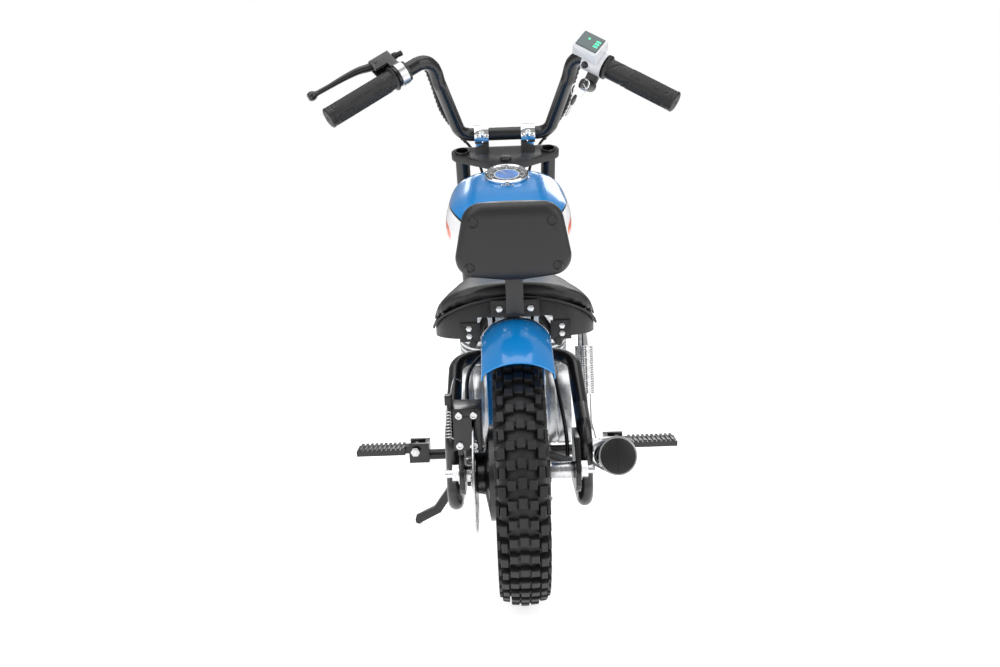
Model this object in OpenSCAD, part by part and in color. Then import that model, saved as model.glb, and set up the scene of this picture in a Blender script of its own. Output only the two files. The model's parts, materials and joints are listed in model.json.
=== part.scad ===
/* [Layout] */
// Distance between the wheel axles
wheelbase = 740; // [700:5:780]
// Outer radius of both tyres
tyre_r = 153; // [145:1:160]
// Overall width of both tyres
tyre_w = 58; // [50:1:64]
// Rake of the steering axis from vertical, in degrees
rake = 28; // [24:1:32]
// Distance of each fork leg from the middle
leg_x = 75.7; // [70:0.5:80]
// How far the steering stem lies behind the fork legs
stem_back = 38; // [34:1:42]

/* [Tubes] */
// Radius of the handlebar tube
bar_r = 11.1; // [10:0.1:12.7]
// Radius of the rear loop and lower rail tubes
loop_r = 9.5; // [8:0.5:11]
// Wall of every frame tube
tube_wall = 2; // [1.5:0.1:3]
// Distance of each rear loop from the middle
loop_x = 81; // [78:0.5:86]
// Radius of the fork's upper tubes
stanchion_r = 12.5; // [11:0.5:14]
// Radius of the fork's lower legs
slider_r = 15; // [14.5:0.5:16]

/* [Wheels] */
// Radius of the rear axle
rear_axle_r = 6; // [5:0.5:7]
// Radius of the front axle
front_axle_r = 5; // [4:0.5:6]
// Half length of the rear axle
rear_axle_end = 90; // [88:1:96]
// Radius of the brake rotor
rotor_r = 70; // [60:1:80]

/* [Body] */
// Width of the rear fender
fender_w = 78; // [74:1:84]
// Outer radius of the rear fender at its crown
fender_r = 186; // [180:1:190]
// Width of the seat cushion
seat_w = 198; // [180:1:210]
// Height of the seat cushion's top
seat_top = 378; // [370:1:390]
// Width of the backrest
backrest_w = 130; // [120:1:140]
// Height of the backrest
backrest_h = 88; // [80:1:96]

/* [Hidden] */
$fn = 64;

axle_z = tyre_r;
rear_y = -wheelbase / 2;
front_y = wheelbase / 2;
rim_r = 101;
gap = 0.4;
// Radial running clearance of the pivots
run = 0.06;
// How much fatter an elbow is than its tube, and how far a straight runs into it
swell = 0.05;
seat = 0.3;

// Heights along the fork legs, from the front axle
slider_top = 250;
lower_clamp_t = 288;
top_clamp_t = 440;
bar_t = 484;
head_low_t = 309;
head_high_t = 430;
clamp_plate = 12;

// Corners of the right half of the handlebar, and the direction of its grip
bar_mid = [0, front_y - bar_t * sin(rake), axle_z + bar_t * cos(rake)];
bar_corner = bar_mid + [76, 0, 0];
bar_shoulder = [103, 52, 655];
bar_top = [113, 24, 694];
bar_end = [255, -40, 606];
bar_length = norm(bar_end - bar_top);
grip_start = 58;
grip_r = 16;
// How much further out the left grip and its lever sit than the right grip
left_out = 12;
lever_turn = 50;
lever_pivot = [0, 38, 66];

// Frame points in the middle plane
backbone_knee = [0, -60, 352];
bridge_y = -195;
bridge_z = 258;
rail_x = 45;
rail_z = 92;
loop_z = 98;
rail_front = 66;

peg_pivot = [152, -120, 104];
stand_pivot = [-88, -170, 72];
stand_dir = [-0.555, 0, -0.832];
stand_axis = [-0.832, 0, 0.555];
muffler_x = 114;
muffler_z = 177;
muffler_rise = 18;
muffler_front_z = muffler_z - 189 * tan(muffler_rise);
dial_at = [0, 28, 505];
dial_tilt = 24;
caliper_y = rear_y - 4;
piston_z = axle_z + 59;
shell_lean = 10;

function unit(v) = v / norm(v);
function clamp1(c) = min(1, max(-1, c));
function turn_at(p, i) = acos(clamp1(unit(p[i] - p[i - 1]) * unit(p[i + 1] - p[i])));
function trim_at(p, i, bend) = i == 0 || i == len(p) - 1 ? 0 : bend * tan(turn_at(p, i) / 2);

// Turns +Z towards a direction
module towards(v) {
    rotate([0, acos(clamp1(v.z / norm(v))), atan2(v.y, v.x)]) children();
}

module ring_section(r, wall) {
    difference() {
        circle(r);
        if (wall > 0) circle(r - wall);
    }
}

// A straight tube or, with no wall, a rod
module rod(a, b, r, wall = 0) {
    translate(a) towards(b - a) linear_extrude(norm(b - a)) ring_section(r, wall);
}

// One corner of a bent tube, as part of a torus
module elbow(p, i, r, wall, bend) {
    u = unit(p[i] - p[i - 1]);
    v = unit(p[i + 1] - p[i]);
    side = unit(v - u * (u * v));
    c = p[i] - u * bend * tan(turn_at(p, i) / 2) + side * bend;
    w = cross(-side, u);
    multmatrix([[-side.x, u.x, w.x, c.x], [-side.y, u.y, w.y, c.y], [-side.z, u.z, w.z, c.z], [0, 0, 0, 1]])
        rotate_extrude(angle = turn_at(p, i)) translate([bend, 0]) ring_section(r + swell, wall > 0 ? wall + 2 * swell : 0);
}

// A tube through a list of corners, each rounded to the bend radius. Its straights run a little into its elbows.
module bent_tube(p, r, wall, bend) {
    for (i = [0 : len(p) - 2]) {
        d = unit(p[i + 1] - p[i]);
        from = trim_at(p, i, bend);
        to = trim_at(p, i + 1, bend);
        rod(p[i] + d * (from - (from > 0 ? seat : 0)), p[i + 1] - d * (to - (to > 0 ? seat : 0)), r, wall);
    }
    for (i = [1 : 1 : len(p) - 2]) elbow(p, i, r, wall, bend);
}

module both() {
    children();
    mirror([1, 0, 0]) children();
}

// Local frame of the fork: Z runs up the legs from the front axle
module on_fork() {
    translate([0, front_y, axle_z]) rotate([rake, 0, 0]) children();
}

// Local frame of the right grip: Z runs outwards along the bar, -X is up and +Y is forwards
module on_grip() {
    translate(bar_top) towards(bar_end - bar_top) children();
}

// The same frame on the left, with +X still inwards for the lever's mirrored forms
module on_left() {
    mirror([1, 0, 0]) on_grip() translate([0, 0, left_out]) children();
}

module on_rear_axle() {
    translate([0, rear_y, axle_z]) rotate([0, 90, 0]) children();
}

module on_front_axle() {
    translate([0, front_y, axle_z]) rotate([0, 90, 0]) children();
}

module hex_bolt(shaft_r, length, head_r = 5, head = 4) {
    cylinder(r = shaft_r, h = length);
    translate([0, 0, length]) cylinder(r = head_r, h = head, $fn = 6);
}

module stadium(length, width) {
    translate([-(length - width) / 2, -width / 2]) square([length - width, width]);
    for (s = [-1, 1]) translate([s * (length - width) / 2, 0]) circle(d = width);
}

module rounded_box(size, r) {
    translate([r, 0, 0]) cube([size.x - 2 * r, size.y, size.z]);
    translate([0, r, 0]) cube([size.x, size.y - 2 * r, size.z]);
    for (x = [r, size.x - r], y = [r, size.y - r]) translate([x, y, 0]) cylinder(r = r, h = size.z);
}

// ---- main frame ----

module head_outer(extra = 0) {
    on_fork() translate([0, -stem_back, head_low_t]) cylinder(r = 20 + extra, h = head_high_t - head_low_t);
}

module head_tube() {
    color("black") on_fork() translate([0, -stem_back, head_low_t])
        linear_extrude(head_high_t - head_low_t) ring_section(20, 4);
}

module headset_cups() {
    color("silver") on_fork() for (t = [head_low_t, head_high_t - 14])
        translate([0, -stem_back, t]) linear_extrude(14) ring_section(16, 16 - 12.5 - run);
}

module backbone() {
    color("black") difference() {
        bent_tube([[0, 160, 457], backbone_knee, [0, bridge_y + 4, bridge_z + 4]], 14, tube_wall, 60);
        head_outer();
        rod([-60, bridge_y, bridge_z], [60, bridge_y, bridge_z], loop_r);
    }
    color("black") rod([-40, bridge_y, bridge_z], [40, bridge_y, bridge_z], loop_r, tube_wall);
}

module down_tube() {
    color("black") difference() {
        rod([0, 172, 440], [0, rail_front, rail_z], 14, tube_wall);
        head_outer();
        rod([-60, rail_front, rail_z], [60, rail_front, rail_z], loop_r);
        translate([-20, rail_front - 30, rail_z - 40]) cube([40, 60, 40]);
    }
}

module upper_stays() {
    color("black") both() bent_tube([[40, bridge_y, bridge_z], [loop_x, bridge_y, bridge_z],
        [loop_x, -300, 211.5]], loop_r, tube_wall, 30);
}

module lower_stays() {
    color("black") both() bent_tube([[loop_x, -300, 211.5], [loop_x, -345, 191.3], [loop_x, -345, loop_z],
        [loop_x, -215, loop_z]], loop_r, tube_wall, 26);
}

module peg_bracket() {
    difference() {
        union() {
            rod([rail_x + 4, peg_pivot.y, rail_z + 1], [peg_pivot.x - 14, peg_pivot.y, rail_z + 1], 8);
            for (s = [-1, 1]) translate([peg_pivot.x - 16, peg_pivot.y - 2.5 + s * 11.5, rail_z - 7])
                cube([26, 5, 30]);
            translate([peg_pivot.x - 20, peg_pivot.y - 14, rail_z - 7]) cube([6, 28, 30]);
        }
        rod([rail_x, -200, rail_z], [rail_x, 0, rail_z], loop_r);
        translate([peg_pivot.x, peg_pivot.y + 20, peg_pivot.z]) rotate([90, 0, 0]) cylinder(r = 4, h = 40);
    }
}

module stand_bracket() {
    difference() {
        union() {
            rod([-54, stand_pivot.y, 90], stand_pivot - stand_axis * 15.5, 6.5);
            translate(stand_pivot - stand_axis * 15) towards(stand_axis) cylinder(r = 11, h = 7);
            translate(stand_pivot - stand_axis * 14) towards(stand_axis) cylinder(r = 5, h = 24);
        }
        rod([-loop_x, -200, loop_z], [-rail_x, -145, rail_z], loop_r + swell);
    }
}

module lower_rails() {
    color("black") {
        both() bent_tube([[loop_x, -215, loop_z], [loop_x, -200, loop_z], [rail_x, -145, rail_z],
            [rail_x, rail_front, rail_z], [0, rail_front, rail_z]], loop_r, tube_wall, 30);
        both() peg_bracket();
        stand_bracket();
    }
}

module dropout(top) {
    difference() {
        translate([65.5, 0, 0]) rotate([90, 0, 90]) linear_extrude(6) union() {
            polygon([[-394, 141], [-394, 165], [-380, top], [-338, top], [-338, 124], [-372, 128]]);
            translate([rear_y, axle_z]) circle(26);
        }
        translate([60, rear_y, axle_z]) rotate([0, 90, 0]) cylinder(r = rear_axle_r, h = 20);
    }
}

module dropouts() {
    color("black") dropout(196);
    color("black") mirror([1, 0, 0]) dropout(184);
}

// ---- rear wheel and brake ----

module rear_axle() {
    color("silver") on_rear_axle() {
        translate([0, 0, -81]) cylinder(r = rear_axle_r, h = 162);
        translate([0, 0, -rear_axle_end]) cylinder(r = rear_axle_r - 1, h = 2 * rear_axle_end);
    }
}

module rear_axle_nuts() {
    color("silver") for (s = [0, 1]) mirror([s, 0, 0]) on_rear_axle() {
        difference() {
            union() {
                translate([0, 0, 71.5]) cylinder(r = 13, h = 2);
                translate([0, 0, 73.5]) cylinder(r = 11, h = 7.5, $fn = 6);
            }
            translate([0, 0, 60]) cylinder(r = rear_axle_r, h = 30);
        }
    }
    color("silver") on_rear_axle() {
        translate([0, 0, -65.5]) linear_extrude(8) ring_section(10, 10 - rear_axle_r);
        translate([0, 0, 34.5]) linear_extrude(31) ring_section(10, 10 - rear_axle_r);
    }
}

module hub_stator() {
    color("goldenrod") difference() {
        on_rear_axle() translate([0, 0, -24]) cylinder(r = 44, h = 46);
        on_rear_axle() translate([0, 0, -30]) cylinder(r = rear_axle_r, h = 80);
    }
}

// Half section of a tyre, open at the beads
module tyre_section() {
    w = tyre_w / 2;
    polygon([[tyre_r, -9], [tyre_r, 9], [tyre_r - 2, 18], [tyre_r - 7, w - 2], [tyre_r - 16, w], [122, w],
        [111, 24], [rim_r, 23.5], [rim_r, 14], [108, 15], [122, 22], [tyre_r - 17, w - 7], [tyre_r - 10, 16],
        [tyre_r - 9, 0], [tyre_r - 10, -16], [tyre_r - 17, 7 - w], [122, -22], [108, -15], [rim_r, -14],
        [rim_r, -23.5], [111, -24], [122, -w], [tyre_r - 16, -w], [tyre_r - 7, 2 - w], [tyre_r - 2, -18]]);
}

module rear_tyre() {
    color("dimgray") on_rear_axle() rotate_extrude($fn = 96) tyre_section();
}

module front_tyre() {
    color("dimgray") on_front_axle() rotate_extrude($fn = 96) tyre_section();
}

// Rim barrel with its two flanges
module rim_barrel() {
    rotate_extrude($fn = 96) polygon([[rim_r - 5, -27], [107, -27], [107, -24.6], [rim_r - 0.2, -24.2],
        [rim_r - 0.2, -13], [rim_r - 8, -9], [rim_r - 8, 9], [rim_r - 0.2, 13], [rim_r - 0.2, 24.2],
        [107, 24.6], [107, 27], [rim_r - 5, 27], [rim_r - 11, 11], [rim_r - 11, -11]]);
}

module spokes(inner, half) {
    for (a = [0 : 72 : 359]) rotate([0, 0, a]) translate([inner, -9, -half]) cube([rim_r - 9 - inner, 18, 2 * half]);
}

module rear_rim() {
    color("#202224") on_rear_axle() {
        rim_barrel();
        spokes(56, 8);
        rotate_extrude() polygon([[rear_axle_r + run, -57], [24, -57], [24, -54.4], [19.8, -54.4], [19.8, -51.8],
            [24, -51.8], [26, -42], [57, -36], [57, 28], [50, 34], [rear_axle_r + run, 34],
            [rear_axle_r + run, 29], [50, 25], [50, -30], [20, -34], [rear_axle_r + run, -46]]);
    }
}

module brake_rotor() {
    color("silver") on_rear_axle() translate([0, 0, -54.2]) difference() {
        cylinder(r = rotor_r, h = 2.2, $fn = 96);
        translate([0, 0, -1]) cylinder(r = 20, h = 5);
        for (a = [0 : 60 : 359]) rotate([0, 0, a]) translate([38, 0, -1]) cylinder(r = 9, h = 5);
        for (a = [0 : 15 : 359]) rotate([0, 0, a]) translate([60 + 3 * (a % 30 == 0 ? 1 : -1), 0, -1])
            cylinder(r = 2.5, h = 5, $fn = 24);
    }
}

module caliper() {
    color("#2a2a2c") difference() {
        union() {
            translate([-76, caliper_y - 21, 190]) cube([33, 42, 50]);
            translate([-71.5, caliper_y - 20, 184]) cube([6, 40, 6]);
        }
        translate([-58, caliper_y - 30, 180]) cube([8.5, 60, 47]);
        translate([-90, caliper_y, piston_z]) rotate([0, 90, 0]) cylinder(r = 9 + run, h = 35);
        translate([-90, caliper_y, piston_z]) rotate([0, 90, 0]) cylinder(r = 14, h = 14);
    }
    color("brown") translate([-51.6, caliper_y - 14, 200]) cube([2, 28, 22]);
}

// Moving pad with its piston
module brake_pad() {
    color("brown") translate([0, caliper_y, piston_z]) rotate([0, 90, 0]) {
        translate([0, 0, -68]) cylinder(r = 9, h = 11.5);
        translate([0, 0, -57]) cylinder(r = 8.9, h = 2.4);
    }
}

// Arm that the cable pulls, on its shaft in the caliper's bore
module caliper_arm() {
    color("#2a2a2c") translate([0, caliper_y, piston_z]) {
        rotate([0, 90, 0]) translate([0, 0, -83]) cylinder(r = 9, h = 14);
        rotate([0, 90, 0]) translate([0, 0, -83]) cylinder(r = 13, h = 6);
        translate([-83, -6, 0]) cube([6, 12, 40]);
        translate([-86, -6, 28]) cube([9, 12, 12]);
    }
}

// ---- bodywork ----

module tank_form(shrink) {
    hull() both() {
        translate([42, 98, 478]) sphere(30 - shrink, $fn = 32);
        translate([60, 62, 481]) sphere(36 - shrink, $fn = 32);
        translate([62, -40, 440]) sphere(37 - shrink, $fn = 32);
        translate([64, -60, 422]) sphere(29 - shrink, $fn = 32);
        translate([20, -104, 416]) sphere(22 - shrink, $fn = 32);
        translate([46, 100, 432]) sphere(28 - shrink, $fn = 32);
    }
}

module fuel_tank() {
    color("dodgerblue") difference() {
        tank_form(0);
        tank_form(3);
        translate([-22, -160, 380]) cube([44, 320, 45]);
        on_dial() translate([0, 0, -40]) cylinder(r = 31.5, h = 60);
        on_dial() translate([0, 0, -2]) cylinder(r = 60, h = 30);
        rod([0, 190, 470], backbone_knee + [0, -40, -18], 17);
        head_outer(2);
    }
}

module on_dial() {
    translate(dial_at) rotate([dial_tilt, 0, 0]) children();
}

module dial_base() {
    color("silver") on_dial() difference() {
        union() {
            translate([0, 0, -24]) cylinder(r = 31, h = 23);
            translate([0, 0, -2]) cylinder(r = 38, h = 2);
            for (s = [-1, 1]) translate([s * 8 - 2, -46, -2]) cube([4, 10, 8]);
        }
        translate([0, 0, -21]) cylinder(r = 28, h = 30);
        translate([-30, -40, 3]) rotate([0, 90, 0]) cylinder(r = 1.5, h = 60);
        translate([0, 0, 0]) cylinder(r = 37, h = 10);
    }
    color("silver") on_dial() translate([-10, -41, 3]) rotate([0, 90, 0]) cylinder(r = 1.5, h = 20);
    color("black") on_dial() translate([0, 0, -21]) difference() {
        cylinder(r = 9, h = 15);
        translate([0, 0, 4]) cylinder(r = 7, h = 15);
    }
}

module dial_lid() {
    color("silver") on_dial() difference() {
        union() {
            translate([0, 0, gap]) cylinder(r = 35.5, h = 6);
            translate([-5.6, -45, gap]) cube([11.2, 14, 5.6]);
        }
        translate([0, 0, 5]) cylinder(r = 31, h = 5);
        translate([-30, -41, 3]) rotate([0, 90, 0]) cylinder(r = 1.5 + run, h = 60);
    }
}

// Crowned cross-section of the fender with a short skirt on each side
module rear_fender() {
    w = fender_w / 2;
    crown = [for (a = [-50 : 10 : 50]) [fender_r - 51 + 51 * cos(a), 51 * sin(a)]];
    inner = [for (a = [50 : -10 : -50]) [fender_r - 51 + 49.2 * cos(a), 49.2 * sin(a)]];
    color("dodgerblue") translate([0, rear_y, axle_z]) rotate([0, 90, 0]) rotate([0, 0, 85])
        rotate_extrude(angle = 128, $fn = 128)
            polygon(concat([[fender_r - 27, -w - 0.5]], crown, [[fender_r - 27, w + 0.5], [fender_r - 27, w - 1.3]], inner,
                [[fender_r - 27, 1.3 - w]]));
}

// Plan outline of the seat, narrowing to its nose
module seat_outline(inset) {
    hull() {
        for (s = [-1, 1]) {
            translate([s * (seat_w / 2 - 45), -324]) circle(45 - inset, $fn = 32);
            translate([s * 28, -150]) circle(24 - inset, $fn = 32);
        }
    }
}

// Height above the edge of an arch across the seat, as a superellipse
function arch(x, rise, power) = rise * pow(max(0, 1 - pow(abs(x) / (seat_w / 2), power)), 1 / power);

// The space across the seat between two heights, each given for every cross position
module seat_section(low, high) {
    xs = [for (i = [-12 : 12]) seat_w / 2 * sin(i * 7.5)];
    rotate([90, 0, 0]) translate([0, 0, 100]) linear_extrude(300)
        polygon(concat([for (i = [0 : 24]) [xs[i], high[i]]], [for (i = [24 : -1 : 0]) [xs[i], low[i]]]));
}

seat_xs = [for (i = [-12 : 12]) seat_w / 2 * sin(i * 7.5)];
seat_edge = seat_top - 58;

module seat_cushion() {
    color("#222222") intersection() {
        seat_section([for (x = seat_xs) seat_edge - 2 + arch(x, 44, 2)], [for (x = seat_xs) seat_edge + 2 + arch(x, 56, 2.6)]);
        translate([0, 0, 290]) linear_extrude(120) seat_outline(0);
    }
}

// Hollow base below the cushion, arched over the fender
module seat_pan() {
    color("black") difference() {
        intersection() {
            seat_section([for (x = seat_xs) seat_edge - 4], [for (x = seat_xs) seat_edge - 2.4 + arch(x, 44, 2)]);
            translate([0, 0, 290]) linear_extrude(120) seat_outline(3);
        }
        intersection() {
            seat_section([for (x = seat_xs) seat_edge - 20], [for (x = seat_xs) seat_edge - 5.4 + arch(x, 44, 2)]);
            translate([0, 0, 290]) linear_extrude(120) seat_outline(6);
        }
        translate([-44, rear_y, axle_z]) rotate([0, 90, 0]) cylinder(r = fender_r + 2, h = 88);
        translate([-40, -136, 310]) cube([80, 10, 20]);
        for (x = [-18, 18]) translate([x, -350, 352]) rotate([90, 0, 0]) cylinder(r = 3, h = 30);
        for (x = [-54, 54], z = [seat_z, seat_z + 9]) translate([x, -350, z]) rotate([90, 0, 0]) cylinder(r = 2.2, h = 30);
    }
}

seat_z = 320;

// Rear plate for the backrest, and the two side plates on their rails down to the frame
module seat_brackets() {
    color("black") {
        difference() {
            translate([-28, -377, 342.5]) cube([56, 3.4, 19]);
            for (x = [-18, 18]) translate([x, -370, 352]) rotate([90, 0, 0]) cylinder(r = 3, h = 12);
        }
        for (x = [-28, 10]) translate([x, -373.6, 343]) cube([18, 7.6, 3]);
        both() difference() {
            union() {
                translate([41, -369, 313]) cube([24, 3, 22]);
                rod([50, -369, 310], [40, bridge_y, 310], 4.5);
                rod([40, bridge_y, 311], [40, bridge_y, bridge_z], 5);
            }
            for (z = [seat_z, seat_z + 9]) translate([54, -350, z]) rotate([90, 0, 0]) cylinder(r = 2.2, h = 30);
            rod([0, bridge_y, bridge_z], [60, bridge_y, bridge_z], loop_r + swell);
        }
    }
}

module on_backrest() {
    translate([0, -380, 388]) rotate([shell_lean, 0, 0]) children();
}

module backrest_bar() {
    reach = 62;
    lean_y = -380 - reach * sin(shell_lean);
    lean_z = 388 + reach * cos(shell_lean);
    color("black") translate([-10, 0, 0]) rotate([90, 0, 90]) linear_extrude(20)
        polygon([[-382.5, 346], [-377.5, 346], [-377.5, 388], [lean_y + 2.5, lean_z], [lean_y - 2.5, lean_z],
            [-382.5, 388]]);
}

module backrest_outline(inset) {
    hull() for (s = [-1, 1]) {
        translate([s * (backrest_w / 2 - 22), 26]) circle(22 - inset, $fn = 32);
        translate([s * (backrest_w / 2 - 32), backrest_h - 24]) circle(24 - inset, $fn = 32);
        translate([s * 10, 12]) circle(12 - inset, $fn = 32);
    }
}

module backrest_shell() {
    color("#202020") on_backrest() difference() {
        translate([0, -3, 0]) rotate([90, 0, 0]) linear_extrude(15) backrest_outline(0);
        translate([0, -2, 0]) rotate([90, 0, 0]) linear_extrude(11) backrest_outline(4);
        for (s = [-1, 1], z = [18, 68]) translate([s * (z < 30 ? 49 : 43), 0, z]) rotate([90, 0, 0])
            cylinder(r = 3, h = 30);
    }
}

module backrest_pad() {
    color("#1c1c1c") on_backrest() translate([0, 27, 0]) rotate([90, 0, 0]) linear_extrude(24) backrest_outline(1);
}

// ---- engine-shaped housing ----

module crankcase_form(inset) {
    for (c = [[-115, 168, 62], [-10, 165, 58]]) translate([-80 + inset, c[0], c[1]]) rotate([0, 90, 0])
        cylinder(r = c[2] - inset, h = 160 - 2 * inset);
    translate([-80 + inset, -115, 108 + inset]) cube([160 - 2 * inset, 105, 122 - 2 * inset]);
}

module crankcase() {
    color("silver") difference() {
        crankcase_form(0);
        crankcase_form(3);
        for (x = [-60 : 15 : 60]) translate([x - 2, 0, 0]) rotate([0, 90, 0]) translate([-168, -115, 0])
            linear_extrude(4) difference() {
                circle(66);
                circle(60.4);
                translate([-66, 0]) square([132, 70]);
            }
    }
}

module cylinder_stack(lean) {
    rotate([lean, 0, 0]) {
        linear_extrude(56) stadium(140, 50);
        for (i = [0 : 5]) translate([0, 0, 5 + i * 9]) linear_extrude(3.5) stadium(160, 68);
    }
}

module cylinders() {
    color("silver") difference() {
        union() {
            translate([0, -92, 231]) cylinder_stack(24);
            translate([0, -20, 231]) cylinder_stack(-24);
        }
        rod([0, 60, 409], [0, -60, 352], 15);
        rod([0, -50, 359], [0, -200, 256], 17);
        crankcase_form(0);
    }
}

module battery_pack() {
    color("royalblue") translate([-62, -140, 122]) cube([124, 96, 88]);
}

module controller() {
    color("silver") translate([-50, -38, 130]) cube([100, 60, 36]);
}

// ---- exhaust ----

// Local frame of the muffler: Z runs back and up to its open end
module on_muffler() {
    translate([muffler_x, -395, muffler_z]) rotate([90 - muffler_rise, 0, 0]) children();
}

module muffler() {
    color("silver") on_muffler() difference() {
        union() {
            translate([0, 0, -178]) cylinder(r = 22.5, h = 178);
            translate([0, 0, -192]) cylinder(r1 = 11, r2 = 22.5, h = 14.01);
        }
        translate([0, 0, -200]) cylinder(r = 9, h = 40);
        translate([0, 0, -175]) cylinder(r = 20.5, h = 240);
    }
    color("#1a1a1a") on_muffler() translate([0, 0, -6]) cylinder(r = 20.4, h = 6);
}

module exhaust_pipe() {
    color("silver") bent_tube([[78, -58, 284], [109, -66, 284], [109, -100, 126], [112, -150, 113],
        [muffler_x, -206, muffler_front_z]], 9, 1.5, 14);
    color("gray") rod([109, -74.6, 244], [109, -90, 172.5], 13, 3);
}

// ---- cables ----

module frame_cables() {
    color("black") {
        bent_tube([[-30, 132, 452], [-30, 136, 398], [-30, 112, 383], [-30, -60, 383], [-30, -118, 330],
            [-26, -205, 285], [-56, -262, 262], [-62, -300, 250], [-61, caliper_y + 26, 232]], 2.5, 0, 12);
        bent_tube([[30, 132, 452], [30, 136, 398], [30, 112, 383], [30, -60, 383], [30, -118, 330],
            [26, -205, 285], [50, -262, 250], [54, -310, 225], [58, -348, 190], [58, -366, 168]], 3, 0, 12);
    }
}

module bar_cables() {
    color("black") both() bent_tube([[136, 40, 690], [120, 78, 676], [114, 122, 620], [84, 176, 590],
        [50, 200, 545], [44, 190, 522]], 2.5, 0, 10);
}

module crossing_cables() {
    color("black") both() bent_tube([[44, 190, 521], [40, 174, 500], [30, 140, 478], [30, 132, 453]], 2.5, 0, 10);
}

// ---- fasteners on the frame ----

module frame_bolts() {
    color("silver") {
        for (x = [-18, 18]) translate([x, -365, 352]) rotate([90, 0, 0]) hex_bolt(2.8, 12.2, 4, 3);
        for (x = [-54, 54], z = [seat_z, seat_z + 9]) translate([x, -362, z]) rotate([90, 0, 0]) hex_bolt(2, 7.2, 3.6, 2.6);
        for (s = [-1, 1], z = [18, 68]) on_backrest() translate([s * (z < 30 ? 49 : 43), -8, z])
            rotate([90, 0, 0]) cylinder(r = 2.8, h = 8);
        for (s = [-1, 1]) translate([s * peg_pivot.x, peg_pivot.y + 17, peg_pivot.z]) rotate([90, 0, 0])
            hex_bolt(4 - 0.02, 34, 7, 5);
    }
}

// ---- steering ----

module fork_bridge(h, wide, back) {
    linear_extrude(h) difference() {
        hull() {
            for (s = [-1, 1]) translate([s * leg_x, 0]) circle(wide, $fn = 48);
            translate([0, -stem_back]) circle(back, $fn = 48);
        }
        for (s = [-1, 1]) translate([s * leg_x, 0]) circle(stanchion_r);
    }
}

module lower_clamp() {
    color("black") on_fork() {
        translate([0, 0, lower_clamp_t]) fork_bridge(18, 19, 19);
        translate([0, -stem_back, lower_clamp_t + 18]) cylinder(r = 12.5, h = top_clamp_t - lower_clamp_t - 18);
    }
}

module top_clamp() {
    color("black") on_fork() {
        translate([0, 0, top_clamp_t]) fork_bridge(clamp_plate, 19, 22);
        translate([0, -stem_back, top_clamp_t + clamp_plate]) cylinder(r = 10, h = 6, $fn = 6);
        translate([0, -stem_back, head_high_t + 1]) linear_extrude(top_clamp_t - head_high_t - 1) ring_section(16, 3.5);
    }
}

module stanchions() {
    color("black") on_fork() both() translate([leg_x, 0, 90]) linear_extrude(top_clamp_t + clamp_plate + 3 - 90)
        ring_section(stanchion_r, tube_wall);
}

module handlebar() {
    color("black") both() bent_tube([bar_mid, bar_corner, bar_shoulder, bar_top, bar_end - unit(bar_end - bar_top) * 4],
        bar_r, tube_wall, 26);
}

module riser_clamps() {
    color("silver") on_fork() both() difference() {
        union() {
            translate([28, -12, top_clamp_t + clamp_plate]) cube([24, 24, bar_t - top_clamp_t - clamp_plate]);
            translate([28, 0, bar_t]) rotate([0, 90, 0]) cylinder(r = 17, h = 24);
            translate([28, -21, bar_t - 3.5]) cube([24, 42, 7]);
        }
        translate([20, 0, bar_t]) rotate([0, 90, 0]) cylinder(r = bar_r, h = 40);
        for (y = [-17, 17]) {
            translate([40, y, bar_t - 20]) cylinder(r = 3, h = 40);
            translate([40, y, bar_t + 3.5]) cylinder(r = 5.2, h = 20);
        }
    }
}

module riser_bolts() {
    color("silver") on_fork() both() for (y = [-17, 17]) translate([40, y, bar_t - 3.5]) {
        cylinder(r = 2.9, h = 14);
        translate([0, 0, 7]) cylinder(r = 5, h = 7);
    }
}

module grip_body(inner) {
    difference() {
        union() {
            translate([0, 0, grip_start]) cylinder(r = grip_r, h = bar_length - grip_start + 2);
            translate([0, 0, grip_start]) cylinder(r = 20, h = 4);
        }
        translate([0, 0, grip_start - 1]) cylinder(r = inner, h = bar_length - grip_start - 2.5);
        translate([0, 0, bar_length - 10]) cylinder(r = 3, h = 20);
    }
}

module left_grip() {
    color("#181818") on_left() grip_body(bar_r);
}

module throttle_grip() {
    color("#181818") on_grip() grip_body(bar_r + run);
}

module on_lever() {
    on_left() rotate([0, 0, lever_turn]) children();
}

module lever_perch() {
    color("#1c1c1e") on_lever() difference() {
        union() {
            translate([0, 0, 34]) cylinder(r = 16, h = 22);
            translate([-9, 10, 38]) cube([18, 22, 14]);
            translate([-9, 25, 38]) cube([18, 20, 36]);
        }
        translate([0, 0, 20]) cylinder(r = bar_r, h = 60);
        translate([-5.6, 20, 52]) cube([11.2, 30, 40]);
        translate([-20, lever_pivot.y, lever_pivot.z]) rotate([0, 90, 0]) cylinder(r = 3, h = 40);
    }
    color("silver") on_lever() translate([-10, lever_pivot.y, lever_pivot.z]) rotate([0, 90, 0])
        cylinder(r = 3, h = 20);
}

module brake_lever() {
    color("#1c1c1e") on_lever() difference() {
        union() {
            translate([-5, lever_pivot.y, lever_pivot.z]) rotate([0, 90, 0]) cylinder(r = 7, h = 10);
            bent_tube([lever_pivot, [0, 47, 94], [0, 49, 136], [0, 51, 178]], 5.5, 0, 20);
            translate([0, 51, 178]) sphere(7.5);
        }
        translate([-20, lever_pivot.y, lever_pivot.z]) rotate([0, 90, 0]) cylinder(r = 3 + run, h = 40);
    }
}

module throttle_housing() {
    color("whitesmoke") on_grip() difference() {
        union() {
            translate([0, 0, 22]) cylinder(r = 19, h = 34);
            rotate([0, 0, 52]) translate([-36, -17, 6]) rounded_box([24, 34, 42], 5);
        }
        translate([0, 0, 0]) cylinder(r = bar_r, h = 70);
        translate([0, 0, 10]) cylinder(r = 12.6, h = 17);
        button_place() translate([0, 0, -8]) cylinder(r = 5.5, h = 20);
    }
}

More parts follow.
